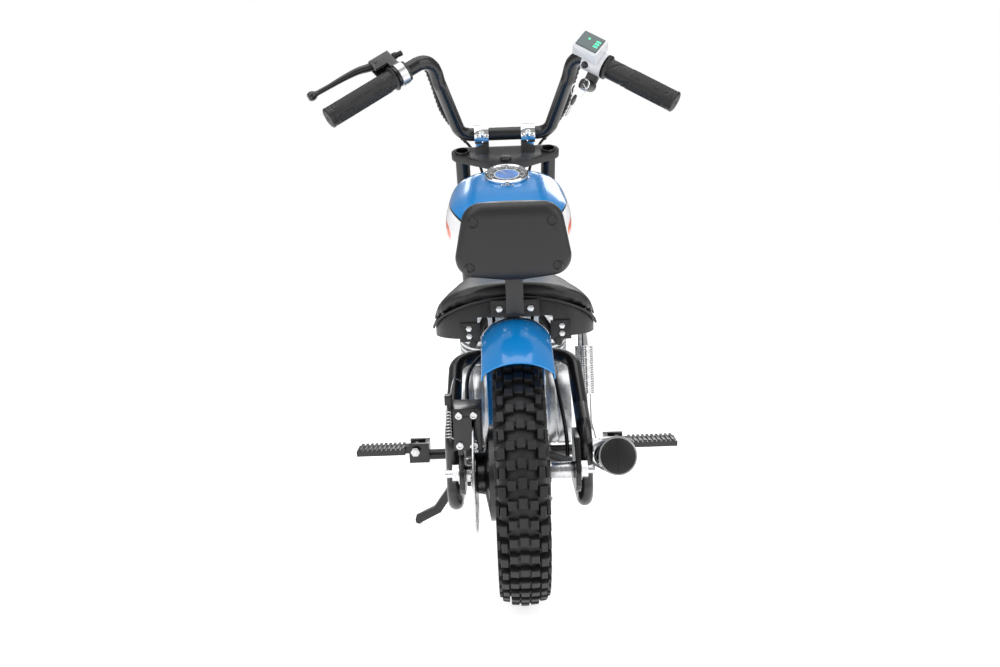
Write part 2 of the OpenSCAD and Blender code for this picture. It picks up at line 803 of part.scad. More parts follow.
module button_place() {
    rotate([0, 0, 35]) translate([0, -19, 30]) rotate([90, 0, 0]) children();
}

module mode_button() {
    color("black") on_grip() button_place() translate([0, 0, -3]) cylinder(r = 5, h = 6.5);
}

module on_lock() {
    on_grip() translate([36, -8, 46]) rotate([90, 0, 0]) children();
}

module key_lock() {
    color("#161616") {
        on_lock() difference() {
            translate([0, 0, -16]) cylinder(r = 9, h = 32);
            translate([0, 0, 4]) cylinder(r = 4.3, h = 14);
        }
        on_grip() difference() {
            translate([12, -6, 36]) cube([20, 10, 18]);
            translate([0, 0, 20]) cylinder(r = 19, h = 40);
            translate([36, 30, 46]) rotate([90, 0, 0]) cylinder(r = 9, h = 60);
        }
    }
}

module ignition_key() {
    color("#111111") on_lock() difference() {
        union() {
            translate([0, 0, 4.5]) cylinder(r = 4.2, h = 13);
            translate([-8, -2, 17.2]) cube([16, 4, 18]);
        }
        translate([0, 10, 30]) rotate([90, 0, 0]) cylinder(r = 2.6, h = 20);
    }
}

module key_ring() {
    color("silver") on_lock() translate([11, 0, 30]) {
        rotate_extrude() translate([11.5, 0]) circle(0.8, $fn = 24);
        difference() {
            union() {
                translate([7.5, -1.3, -5]) cube([15, 2.6, 10]);
                translate([22, -1, -2.5]) cube([20, 2, 5]);
            }
            translate([11.2, 5, 0]) rotate([90, 0, 0]) cylinder(r = 2.4, h = 10);
        }
    }
}

// ---- fork legs and front wheel ----

module fork_sliders() {
    color("#101010") on_fork() both() translate([leg_x, 0, 0]) difference() {
        translate([0, 0, -16]) cylinder(r = slider_r, h = slider_top + 16);
        translate([0, 0, 40]) cylinder(r = stanchion_r + run, h = slider_top);
        translate([-30, 0, 0]) rotate([0, 90, 0]) cylinder(r = front_axle_r, h = 60);
    }
}

// Sleeve that stands for each coil spring
module fork_springs() {
    color("silver") on_fork() both() translate([leg_x, 0, 40.5]) linear_extrude(49) ring_section(11, 3);
}

module front_axle() {
    nut_end = leg_x + slider_r + 7;
    color("silver") on_front_axle() {
        translate([0, 0, -nut_end]) cylinder(r = front_axle_r, h = 2 * nut_end);
        translate([0, 0, -nut_end - 8]) cylinder(r = front_axle_r - 1, h = 2 * nut_end + 16);
    }
    color("silver") for (s = [0, 1]) mirror([s, 0, 0]) on_front_axle() {
        difference() {
            translate([0, 0, leg_x + slider_r]) cylinder(r = 9, h = 7, $fn = 6);
            translate([0, 0, 60]) cylinder(r = front_axle_r, h = 60);
        }
        translate([0, 0, 44]) linear_extrude(leg_x - slider_r - 44.2) ring_section(9, 9 - front_axle_r);
    }
}

module front_rim() {
    color("#202224") on_front_axle() {
        rim_barrel();
        spokes(20, 8);
        rotate_extrude() polygon([[front_axle_r + run, -43.5], [16, -43.5], [24, -20], [24, 20], [16, 43.5],
            [front_axle_r + run, 43.5]]);
    }
}

// ---- folding pieces ----

module footpeg() {
    difference() {
        union() {
            translate([peg_pivot.x, peg_pivot.y - 8.6, peg_pivot.z]) rotate([-90, 0, 0]) cylinder(r = 9, h = 17.2);
            translate([peg_pivot.x, peg_pivot.y - 8, peg_pivot.z - 6]) cube([18, 16, 11]);
            translate([peg_pivot.x + 16, peg_pivot.y - 15, peg_pivot.z - 6]) cube([73, 30, 8]);
            for (i = [0 : 9]) translate([peg_pivot.x + 18 + i * 7, peg_pivot.y - 15, peg_pivot.z + 1.9])
                cube([4, 30, 3]);
        }
        translate([peg_pivot.x, peg_pivot.y - 20, peg_pivot.z]) rotate([-90, 0, 0]) cylinder(r = 4 + run, h = 40);
    }
}

module right_footpeg() {
    color("black") footpeg();
}

module left_footpeg() {
    color("black") mirror([1, 0, 0]) footpeg();
}

module side_stand() {
    leg = [[-83.1, 68.6], [-115.3, 22.1], [-143.5, 8.1], [-147, 5.6], [-152, 6.8], [-153.6, 11.5], [-152, 17],
        [-148.5, 17.9], [-124.6, 29.9], [-92.9, 75.4]];
    color("black") difference() {
        union() {
            translate(stand_pivot - stand_axis * 7.6) towards(stand_axis) cylinder(r = 11, h = 15.2);
            translate([0, stand_pivot.y + 5.5, 0]) rotate([90, 0, 0]) linear_extrude(11) polygon(leg);
        }
        translate(stand_pivot - stand_axis * 20) towards(stand_axis) cylinder(r = 5 + run, h = 60);
    }
}

head_tube();
headset_cups();
backbone();
down_tube();
lower_rails();
upper_stays();
lower_stays();
dropouts();
rear_axle();
rear_axle_nuts();
hub_stator();
fuel_tank();
dial_base();
rear_fender();
seat_pan();
seat_cushion();
seat_brackets();
backrest_bar();
backrest_shell();
backrest_pad();
crankcase();
cylinders();
battery_pack();
controller();
muffler();
exhaust_pipe();
caliper();
caliper_arm();
brake_pad();
frame_cables();
frame_bolts();
lower_clamp();
top_clamp();
stanchions();
handlebar();
riser_clamps();
riser_bolts();
left_grip();
lever_perch();
throttle_housing();
key_lock();
bar_cables();
crossing_cables();
brake_lever();
throttle_grip();
mode_button();
ignition_key();
key_ring();
fork_sliders();
fork_springs();
front_axle();
front_rim();
front_tyre();
rear_tyre();
rear_rim();
brake_rotor();
side_stand();
left_footpeg();
right_footpeg();
dial_lid();
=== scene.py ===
import json
import math

import bmesh
import bpy
from mathutils import Matrix, Vector


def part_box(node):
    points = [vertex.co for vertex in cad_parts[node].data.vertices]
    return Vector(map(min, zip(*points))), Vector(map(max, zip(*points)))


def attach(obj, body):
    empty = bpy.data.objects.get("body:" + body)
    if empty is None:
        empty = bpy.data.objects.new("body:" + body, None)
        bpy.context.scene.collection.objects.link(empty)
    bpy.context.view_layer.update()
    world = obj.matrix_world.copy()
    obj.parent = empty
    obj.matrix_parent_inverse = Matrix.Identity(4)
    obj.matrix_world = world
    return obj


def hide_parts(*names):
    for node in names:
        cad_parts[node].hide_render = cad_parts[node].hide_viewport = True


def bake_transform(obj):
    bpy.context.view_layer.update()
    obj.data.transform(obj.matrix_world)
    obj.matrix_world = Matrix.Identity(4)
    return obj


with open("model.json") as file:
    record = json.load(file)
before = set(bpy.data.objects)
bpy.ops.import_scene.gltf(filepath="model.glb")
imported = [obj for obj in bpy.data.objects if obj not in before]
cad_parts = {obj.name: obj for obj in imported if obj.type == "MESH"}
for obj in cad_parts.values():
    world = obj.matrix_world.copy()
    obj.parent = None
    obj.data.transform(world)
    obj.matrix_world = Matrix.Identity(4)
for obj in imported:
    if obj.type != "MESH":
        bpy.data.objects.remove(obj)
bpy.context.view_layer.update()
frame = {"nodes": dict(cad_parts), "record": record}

MM = 0.001
BODY_OF = {node: body for body, nodes in frame["record"]["behaviour"]["bodies"].items() for node in nodes}


def centre(node):
    low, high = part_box(node)
    return (Vector(low) + Vector(high)) / 2


def mm(*v):
    return Vector(v) * MM


# ---- places worked out from the frame ----

REAR = centre("rear_tyre")
FRONT = centre("front_tyre")
TYRE_R = (Vector(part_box("rear_tyre")[1]) - REAR).z
LEAN = math.radians(2.05)
DIAL_TILT = math.radians(24)
SHELL_LEAN = math.radians(10)
LEVER_TURN = math.radians(50)
DISPLAY_TURN = math.radians(52)
GRIP_TOP = mm(113, 24, 694)
GRIP_END = mm(255, -40, 606)
GRIP_LEN = (GRIP_END - GRIP_TOP).length
MIRROR = Matrix.Scale(-1, 4, (1, 0, 0))
DIAL = Matrix.Translation(mm(0, 28, 505)) @ Matrix.Rotation(DIAL_TILT, 4, "X")
BACKREST = Matrix.Translation(mm(0, -380, 388)) @ Matrix.Rotation(SHELL_LEAN, 4, "X")


def towards(direction):
    d = direction.normalized()
    turn = math.atan2(d.y, d.x)
    return Matrix.Rotation(turn, 4, "Z") @ Matrix.Rotation(math.acos(d.z), 4, "Y")


GRIP = Matrix.Translation(GRIP_TOP) @ towards(GRIP_END - GRIP_TOP)
LEFT_GRIP = MIRROR @ GRIP @ Matrix.Translation(mm(0, 0, 12))
LEVER = LEFT_GRIP @ Matrix.Rotation(LEVER_TURN, 4, "Z")
LOCK = GRIP @ Matrix.Translation(mm(36, -8, 46)) @ Matrix.Rotation(math.pi / 2, 4, "X")
REAR_AXLE = Matrix.Translation(REAR) @ Matrix.Rotation(math.pi / 2, 4, "Y")
MUFFLER = Matrix.Translation(mm(114, -395, 177)) @ Matrix.Rotation(math.radians(72), 4, "X")

# ---- camera, floor and light ----


def make_camera():
    yaw, pitch, roll = math.radians(-0.26), math.radians(10.4), math.radians(-2.05)
    ahead = Vector((math.sin(yaw) * math.cos(pitch), math.cos(yaw) * math.cos(pitch), -math.sin(pitch)))
    right = ahead.cross(Vector((0, 0, 1))).normalized()
    up = right.cross(ahead)
    x = math.cos(roll) * right + math.sin(roll) * up
    y = -math.sin(roll) * right + math.cos(roll) * up
    rotation = Matrix((x, y, -ahead)).transposed()
    data = bpy.data.cameras.new("camera")
    data.lens = 28.8
    data.sensor_width = 36
    camera = bpy.data.objects.new("camera", data)
    camera.matrix_world = Matrix.Translation((-0.014, -1.285, 0.490)) @ rotation.to_4x4()
    bpy.context.collection.objects.link(camera)
    bpy.context.scene.camera = camera


def area_light(name, place, target, size, power):
    data = bpy.data.lights.new(name, "AREA")
    data.shape = "RECTANGLE"
    data.size, data.size_y = size
    data.energy = power
    lamp = bpy.data.objects.new(name, data)
    lamp.location = place
    lamp.rotation_euler = (Vector(target) - Vector(place)).to_track_quat("-Z", "Y").to_euler()
    bpy.context.collection.objects.link(lamp)


def make_studio():
    world = bpy.data.worlds.new("studio")
    world.use_nodes = True
    nodes, links = world.node_tree.nodes, world.node_tree.links
    nodes["Background"].inputs["Color"].default_value = (1, 1, 1, 1)
    path = nodes.new("ShaderNodeLightPath")
    level = nodes.new("ShaderNodeMapRange")
    level.inputs["To Min"].default_value = 0.36
    level.inputs["To Max"].default_value = 1.0
    links.new(path.outputs["Is Camera Ray"], level.inputs["Value"])
    links.new(level.outputs["Result"], nodes["Background"].inputs["Strength"])
    bpy.context.scene.world = world
    bpy.context.scene.view_settings.view_transform = "Standard"
    area_light("key", (-1.5, -1.7, 2.3), (0, 0, 0.35), (2.4, 2.4), 34)
    area_light("fill", (1.9, -1.4, 1.4), (0, -0.1, 0.3), (2.0, 2.2), 22)
    area_light("top", (0, -0.1, 2.7), (0, 0, 0.3), (2.4, 2.4), 30)
    area_light("rim", (0.3, 2.2, 1.6), (0, 0, 0.4), (2.0, 1.0), 22)


# ---- materials ----


def material(name, color, rough, metal=0.0, coat=0.0, tint=0.12, grain=250, bump=0.05, pore=1500,
             depth=0.0002, alpha=1.0, emission=0.0):
    """A principled shader with a slight mottling in colour and gloss, and a fine bump."""
    mat = bpy.data.materials.new(name)
    mat.use_nodes = True
    nodes, links = mat.node_tree.nodes, mat.node_tree.links
    shader = nodes["Principled BSDF"]
    shader.inputs["Metallic"].default_value = metal
    shader.inputs["Coat Weight"].default_value = coat
    shader.inputs["Coat Roughness"].default_value = 0.04
    place = nodes.new("ShaderNodeTexCoord")
    mottle = nodes.new("ShaderNodeTexNoise")
    mottle.inputs["Scale"].default_value = grain
    mottle.inputs["Detail"].default_value = 5
    links.new(place.outputs["Object"], mottle.inputs["Vector"])
    ramp = nodes.new("ShaderNodeValToRGB")
    low = [c * (1 - tint) for c in color]
    high = [min(1, c * (1 + tint)) for c in color]
    ramp.color_ramp.elements[0].position = 0.3
    ramp.color_ramp.elements[1].position = 0.7
    ramp.color_ramp.elements[0].color = (*low, 1)
    ramp.color_ramp.elements[1].color = (*high, 1)
    links.new(mottle.outputs["Fac"], ramp.inputs["Fac"])
    links.new(ramp.outputs["Color"], shader.inputs["Base Color"])
    gloss = nodes.new("ShaderNodeMapRange")
    gloss.inputs["To Min"].default_value = max(0.02, rough - 0.06)
    gloss.inputs["To Max"].default_value = min(1, rough + 0.06)
    links.new(mottle.outputs["Fac"], gloss.inputs["Value"])
    links.new(gloss.outputs["Result"], shader.inputs["Roughness"])
    if bump:
        pores = nodes.new("ShaderNodeTexNoise")
        pores.inputs["Scale"].default_value = pore
        pores.inputs["Detail"].default_value = 4
        links.new(place.outputs["Object"], pores.inputs["Vector"])
        relief = nodes.new("ShaderNodeBump")
        relief.inputs["Strength"].default_value = bump
        relief.inputs["Distance"].default_value = depth
        links.new(pores.outputs["Fac"], relief.inputs["Height"])
        links.new(relief.outputs["Normal"], shader.inputs["Normal"])
    if alpha < 1:
        shader.inputs["Alpha"].default_value = alpha
    if emission:
        shader.inputs["Emission Color"].default_value = (*color, 1)
        shader.inputs["Emission Strength"].default_value = emission
    return mat


def leather_material(name, color, rough):
    """Grained vinyl: a cell pattern for the grain over the mottled shader."""
    mat = material(name, color, rough, tint=0.2, grain=60, bump=0)
    nodes, links = mat.node_tree.nodes, mat.node_tree.links
    cells = nodes.new("ShaderNodeTexVoronoi")
    cells.feature = "DISTANCE_TO_EDGE"
    cells.inputs["Scale"].default_value = 520
    place = nodes.new("ShaderNodeTexCoord")
    links.new(place.outputs["Object"], cells.inputs["Vector"])
    relief = nodes.new("ShaderNodeBump")
    relief.inputs["Strength"].default_value = 0.35
    relief.inputs["Distance"].default_value = 0.0003
    links.new(cells.outputs["Distance"], relief.inputs["Height"])
    links.new(relief.outputs["Normal"], nodes["Principled BSDF"].inputs["Normal"])
    return mat


def tank_material():
    """Blue gloss with a pale side panel, a dark pinstripe round it and a warm flash within it."""
    mat = material("tank_paint", BLUE, 0.25, coat=0.6, tint=0.03, grain=30, bump=0.02, pore=300)
    nodes, links = mat.node_tree.nodes, mat.node_tree.links
    place = nodes.new("ShaderNodeTexCoord")
    shift = nodes.new("ShaderNodeMapping")
    shift.vector_type = "TEXTURE"
    shift.inputs["Location"].default_value = (0, 0.004, 0.431)
    shift.inputs["Rotation"].default_value = (math.radians(9), 0, 0)
    shift.inputs["Scale"].default_value = (1e6, 0.108, 0.037)
    links.new(place.outputs["Object"], shift.inputs["Vector"])
    far = nodes.new("ShaderNodeVectorMath")
    far.operation = "LENGTH"
    links.new(shift.outputs["Vector"], far.inputs[0])
    bands = nodes.new("ShaderNodeValToRGB")
    bands.color_ramp.interpolation = "CONSTANT"
    edge = 0.95
    steps = [(0.0, (0.9, 0.9, 0.92)), (0.42, (0.85, 0.12, 0.02)), (0.62, (0.9, 0.9, 0.92)),
             (0.965, (0.01, 0.01, 0.012)), (1.0, BLUE)]
    for _ in range(3):
        bands.color_ramp.elements.new(0.5)
    scale = nodes.new("ShaderNodeMath")
    scale.operation = "MULTIPLY"
    scale.inputs[1].default_value = edge
    for element, (share, color) in zip(bands.color_ramp.elements, steps):
        element.position = share * edge
        element.color = (*color, 1)
    links.new(far.outputs["Value"], scale.inputs[0])
    links.new(scale.outputs["Value"], bands.inputs["Fac"])
    links.new(bands.outputs["Color"], nodes["Principled BSDF"].inputs["Base Color"])
    return mat


BLUE = (0.0, 0.22, 0.6)
M = {}


def make_materials():
    M["black_paint"] = material("satin_black", (0.007, 0.007, 0.008), 0.3, coat=0.25, bump=0.08, pore=2500)
    M["grey_plate"] = material("black_plate", (0.012, 0.011, 0.012), 0.4, bump=0.1, pore=2500)
    M["blue"] = material("blue_gloss", BLUE, 0.22, coat=0.7, tint=0.03, grain=30, bump=0.02, pore=300)
    M["tank"] = tank_material()
    M["vinyl"] = leather_material("black_vinyl", (0.014, 0.013, 0.013), 0.4)
    M["shell"] = material("moulded_black", (0.011, 0.0105, 0.011), 0.42, bump=0.25, pore=3000)
    M["plastic"] = material("black_plastic", (0.009, 0.009, 0.01), 0.36, bump=0.15, pore=2500)
    M["alloy"] = material("cast_alloy", (0.62, 0.63, 0.64), 0.3, metal=0.9, bump=0.2, pore=1800)
    M["chrome"] = material("chrome", (0.86, 0.87, 0.88), 0.06, metal=1.0, tint=0.03, bump=0.01)
    M["steel"] = material("zinc_steel", (0.66, 0.66, 0.67), 0.25, metal=1.0, bump=0.06)
    M["rim"] = material("rim_black", (0.008, 0.008, 0.009), 0.3, coat=0.3, bump=0.08)
    M["motor"] = material("copper_windings", (0.45, 0.2, 0.08), 0.4, metal=0.8)
    M["tyre"] = material("tyre_rubber", (0.011, 0.0105, 0.011), 0.55, tint=0.35, grain=120, bump=0.4, pore=1600)
    M["rubber"] = material("grip_rubber", (0.01, 0.0098, 0.01), 0.45, tint=0.2, bump=0.3, pore=2600)
    M["cable"] = material("cable_jacket", (0.006, 0.006, 0.006), 0.4, bump=0.05)
    M["housing"] = material("pale_housing", (0.72, 0.73, 0.76), 0.22, coat=0.5, tint=0.03, bump=0.05)
    M["screen"] = material("dark_screen", (0.03, 0.06, 0.065), 0.08, coat=1.0, tint=0.1, bump=0)
    M["led"] = material("green_light", (0.05, 0.75, 0.3), 0.3, emission=1.6, bump=0)
    M["white"] = material("white_print", (0.85, 0.85, 0.85), 0.4, bump=0)
    M["dial_blue"] = material("dial_blue", (0.04, 0.19, 0.55), 0.25, tint=0.6, grain=25, bump=0)
    M["glass"] = material("dial_glass", (0.9, 0.95, 1.0), 0.03, tint=0.0, bump=0, alpha=0.06)
    M["battery"] = material("battery_wrap", (0.04, 0.1, 0.35), 0.35)
    M["pad"] = material("brake_lining", (0.12, 0.05, 0.03), 0.8, bump=0.4)
    M["floor"] = material("pale_floor", (0.8, 0.8, 0.805), 0.12, tint=0.01, grain=3, bump=0)
    glow = M["floor"].node_tree.nodes["Principled BSDF"]
    glow.inputs["Emission Color"].default_value = (1, 1, 1, 1)
    glow.inputs["Emission Strength"].default_value = 0.74


# ---- mesh helpers ----


def smooth(obj, angle=35):
    obj.data.shade_smooth()
    obj.data.set_sharp_from_angle(angle=math.radians(angle))
    return obj


def make(name, verts, faces, mat, angle=35):
    mesh = bpy.data.meshes.new(name)
    mesh.from_pydata([tuple(v) for v in verts], [], faces)
    mesh.materials.append(mat)
    obj = bpy.data.objects.new(name, mesh)
    bpy.context.collection.objects.link(obj)
    bm = bmesh.new()
    bm.from_mesh(mesh)
    bmesh.ops.recalc_face_normals(bm, faces=bm.faces)
    bm.to_mesh(mesh)
    bm.free()
    return smooth(obj, angle)


def rings_to_faces(rows, columns, wrap_rows=False, wrap_columns=True, cap=False):
    faces = []
    for i in range(rows if wrap_rows else rows - 1):
        for j in range(columns if wrap_columns else columns - 1):
            a = i * columns + j
            b = i * columns + (j + 1) % columns
            c = ((i + 1) % rows) * columns + (j + 1) % columns
            d = ((i + 1) % rows) * columns + j
            faces.append((a, b, c, d))
    if cap:
        faces.append(tuple(range(columns)))
        faces.append(tuple((rows - 1) * columns + j for j in range(columns)))
    return faces


def lathe(name, profile, place, mat, steps=96, angle=35):
    """Turns a closed profile of (radius, height) pairs in mm about local Z."""
    verts = []
    for k in range(steps):
        a = 2 * math.pi * k / steps
        verts += [place @ mm(r * math.cos(a), r * math.sin(a), z) for r, z in profile]
    return make(name, verts, rings_to_faces(steps, len(profile), wrap_rows=True), mat, angle)


def curve_points(corners, per=10):
    """Catmull-Rom points through a list of corners."""
    p = [Vector(c) for c in corners]
    p = [2 * p[0] - p[1]] + p + [2 * p[-1] - p[-2]]
    out = []
    for i in range(1, len(p) - 2):
        for k in range(per):
            t = k / per
            a, b, c, d = p[i - 1], p[i], p[i + 1], p[i + 2]
            out.append(0.5 * (2 * b + (c - a) * t + (2 * a - 5 * b + 4 * c - d) * t * t
                              + (3 * b - a - 3 * c + d) * t ** 3))
    out.append(p[-2])
    return out


def sweep(name, line, radius, mat, sides=16, flat=1.0, angle=50):
    """A tube along a line. radius is a number in metres or a function of (share of length, angle, distance)."""
    tangent = (line[1] - line[0]).normalized()
    side = tangent.orthogonal().normalized()
    verts = []
    walked = 0.0
    total = sum((b - a).length for a, b in zip(line, line[1:]))
    for i, p in enumerate(line):
        ahead = (line[min(i + 1, len(line) - 1)] - line[max(i - 1, 0)]).normalized()
        side = tangent.rotation_difference(ahead) @ side
        tangent = ahead
        other = tangent.cross(side)
        walked += (p - line[i - 1]).length if i else 0
        for k in range(sides):
            a = 2 * math.pi * k / sides
            r = radius(walked / total, a, walked) if callable(radius) else radius
            verts.append(p + side * (r * math.cos(a)) + other * (r * flat * math.sin(a)))
    return make(name, verts, rings_to_faces(len(line), sides, cap=True), mat, angle)


def block(name, size, place, mat, bevel=0.5, segments=2):
    """A box of that size in mm, centred on place, with rounded edges."""
    mesh = bpy.data.meshes.new(name)
    bm = bmesh.new()
    bmesh.ops.create_cube(bm, size=1)
    for v in bm.verts:
        v.co = place @ mm(v.co.x * size[0], v.co.y * size[1], v.co.z * size[2])
    bmesh.ops.bevel(bm, geom=list(bm.edges), offset=bevel * MM, segments=segments, affect="EDGES",
                    clamp_overlap=True)
    bmesh.ops.recalc_face_normals(bm, faces=bm.faces)
    bm.to_mesh(mesh)
    bm.free()
    mesh.materials.append(mat)
    obj = bpy.data.objects.new(name, mesh)
    bpy.context.collection.objects.link(obj)
    return smooth(obj)


def at(x, y, z):
    return Matrix.Translation(mm(x, y, z))


def put(obj, node, replaces=False):
    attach(obj, BODY_OF[node])
    if replaces:
        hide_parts(node)
    return obj


def soften(node, mat, width=0.6, sharp=35, segments=2):
    """A copy of a CAD node with its edges rounded, which stands for it."""
    mesh = frame["nodes"][node].data.copy()
    obj = bpy.data.objects.new(node + "_finish", mesh)
    bpy.context.collection.objects.link(obj)
    bm = bmesh.new()
    bm.from_mesh(mesh)
    bmesh.ops.remove_doubles(bm, verts=bm.verts, dist=1e-5)
    bmesh.ops.dissolve_limit(bm, angle_limit=math.radians(0.7), verts=bm.verts, edges=bm.edges)
    edges = [e for e in bm.edges if len(e.link_faces) == 2 and e.calc_face_angle(0) > math.radians(sharp)]
    if width:
        bmesh.ops.bevel(bm, geom=edges, offset=width * MM, segments=segments, affect="EDGES",
                        clamp_overlap=True, profile=0.6)
    bmesh.ops.triangulate(bm, faces=[f for f in bm.faces if len(f.verts) > 4])
    bm.to_mesh(mesh)
    bm.free()
    mesh.materials.clear()
    mesh.materials.append(mat)
    smooth(obj, 40)
    return put(obj, node, replaces=True)


def inflate(obj, voxel=5.0, cap=8.0, pressure=4.0):
    """Swells a closed form by a short cloth simulation, and caps how far a point may move."""
    bpy.context.view_layer.objects.active = obj
    remesh = obj.modifiers.new("remesh", "REMESH")
    remesh.mode = "VOXEL"
    remesh.voxel_size = voxel * MM
    bpy.ops.object.modifier_apply(modifier=remesh.name)
    start = [v.co.copy() for v in obj.data.vertices]
    cloth = obj.modifiers.new("cloth", "CLOTH")
    cloth.settings.use_pressure = True
    cloth.settings.uniform_pressure_force = pressure
    cloth.settings.effector_weights.gravity = 0
    scene = bpy.context.scene
    for step in range(1, 21):
        scene.frame_set(step)
    bpy.ops.object.modifier_apply(modifier=cloth.name)
    scene.frame_set(1)
    for v, home in zip(obj.data.vertices, start):
        move = v.co - home
        if move.length > cap * MM:
            v.co = home + move.normalized() * cap * MM
    ease = obj.modifiers.new("ease", "SMOOTH")
    ease.iterations = 4
    bpy.ops.object.modifier_apply(modifier=ease.name)
    fine = obj.modifiers.new("fine", "SUBSURF")
    fine.levels = 1
    bpy.ops.object.modifier_apply(modifier=fine.name)
    obj.data.shade_smooth()
    return obj


# ---- tyres ----

KNOB_ROWS = 46
CARCASS = [(101, -21), (104, -24), (115, -27), (127, -26.5), (137, -22.5), (143, -15), (146, -7), (147, 0),
           (146, 7), (143, 15), (137, 22.5), (127, 26.5), (115, 27), (104, 24), (101, 21), (99, 14), (99, -14)]


def knob(verts, faces, hub, a, length, x0, x1, low, high, lean=0.0):
    """One tread block: angle a, length in mm along the tread, from x0 to x1, between two radii."""
    base = len(verts)
    for r, inset in ((low, 0.0), (high - 0.7, 0.35), (high, 1.0)):
        half = (length / 2 - inset) / r
        for x, s in ((x0 + inset, -1), (x1 - inset, -1), (x1 - inset, 1), (x0 + inset, 1)):
            turn = a + s * half
            drop = lean * abs(x) if r > low else 0
            verts.append(hub + mm(x, (r - drop) * math.cos(turn), (r - drop) * math.sin(turn)))
    for ring in (0, 4):
        for k in range(4):
            faces.append((base + ring + k, base + ring + (k + 1) % 4, base + ring + 4 + (k + 1) % 4,
                          base + ring + 4 + k))
    faces.append((base + 8, base + 9, base + 10, base + 11))
    faces.append((base + 3, base + 2, base + 1, base))


def tyre(node, hub):
    place = Matrix.Translation(hub) @ Matrix.Rotation(math.pi / 2, 4, "Y")
    body = lathe(node + "_carcass", CARCASS, place, M["tyre"], steps=138)
    put(body, node, replaces=True)
    verts, faces = [], []
    for row in range(KNOB_ROWS):
        a = 2 * math.pi * row / KNOB_ROWS
        pitch = 2 * math.pi / KNOB_ROWS
        odd = row % 2
        knob(verts, faces, hub, a, 11.5, -4.9, 4.9, 145, TYRE_R / MM)
        for s in (-1, 1):
            x0, x1 = sorted((s * 6.1, s * 15.6))
            knob(verts, faces, hub, a + pitch * 0.12, 10.5, x0, x1, 142, TYRE_R / MM - 0.4, 0.07)
            x0, x1 = sorted((s * 16.8, s * (25.5 if odd else 24.0)))
            knob(verts, faces, hub, a + pitch * 0.5, 12.5, x0, x1, 134, 150.5, 0.12)
            x0, x1 = sorted((s * 24.0, s * 28.8))
            knob(verts, faces, hub, a + pitch * 0.5, 9.0 if odd else 12.0, x0, x1, 124, 143)
            x0, x1 = sorted((s * 4.0, s * 7.2))
            knob(verts, faces, hub, a, 6.0, x0, x1, 143, 150.3)
    tread = make(node + "_tread", verts, faces, M["tyre"], 30)
    put(tread, node)
    for s in (-1, 1):
        for r in (108, 118):
            ring = lathe(f"{node}_bead_{'lr'[s > 0]}_{r}", [(r, s * 24.5), (r + 1.2, s * 27.6), (r + 2.4, s * 24.5)],
                         place, M["tyre"], steps=96)
            put(ring, node)


# ---- tank and dial ----

TANK = [(-126, 14, 426, 408), (-122, 32, 432, 401), (-112, 44, 438, 397), (-98, 58, 446, 395), (-76, 84, 460, 394),
        (-45, 98, 477, 394), (-10, 98.5, 491, 396), (28, 97, 505, 399), (56, 96, 516, 401), (76, 92, 516.5, 402),
        (98, 82, 511, 404), (114, 68, 500, 408), (123, 52, 487, 416), (127, 36, 474, 428)]


def tank():
    sides = 48
    verts = []
    for y, half, top, low in TANK:
        middle = low + (top - low) * 0.42
        for k in range(sides):
            a = 2 * math.pi * k / sides
            c, s = math.cos(a), math.sin(a)
            power = 2 / 2.9
            x = half * math.copysign(abs(c) ** power, c)
            rise = (top - middle) if s > 0 else (middle - low)
            verts.append(mm(x, y, middle + rise * math.copysign(abs(s) ** power, s)))
    obj = make("tank_shell", verts, rings_to_faces(len(TANK), sides, cap=True), M["tank"], 180)
    bpy.context.view_layer.objects.active = obj
    fine = obj.modifiers.new("fine", "SUBSURF")
    fine.levels = 2
    bpy.ops.object.modifier_apply(modifier=fine.name)
    obj.data.shade_smooth()
    put(obj, "fuel_tank", replaces=True)
    seam = curve_points([mm(0, -125, 410), mm(46, -97, 404), mm(82, -45, 405), mm(85, 10, 407), mm(79, 70, 410),
                         mm(54, 112, 416), mm(0, 126, 424)], 12)
    for s, side in ((1, "right"), (-1, "left")):
        line = [Vector((p.x * s, p.y, p.z)) for p in seam]
        put(sweep("tank_seam_" + side, line, 1.1 * MM, M["blue"], sides=8), "fuel_tank")


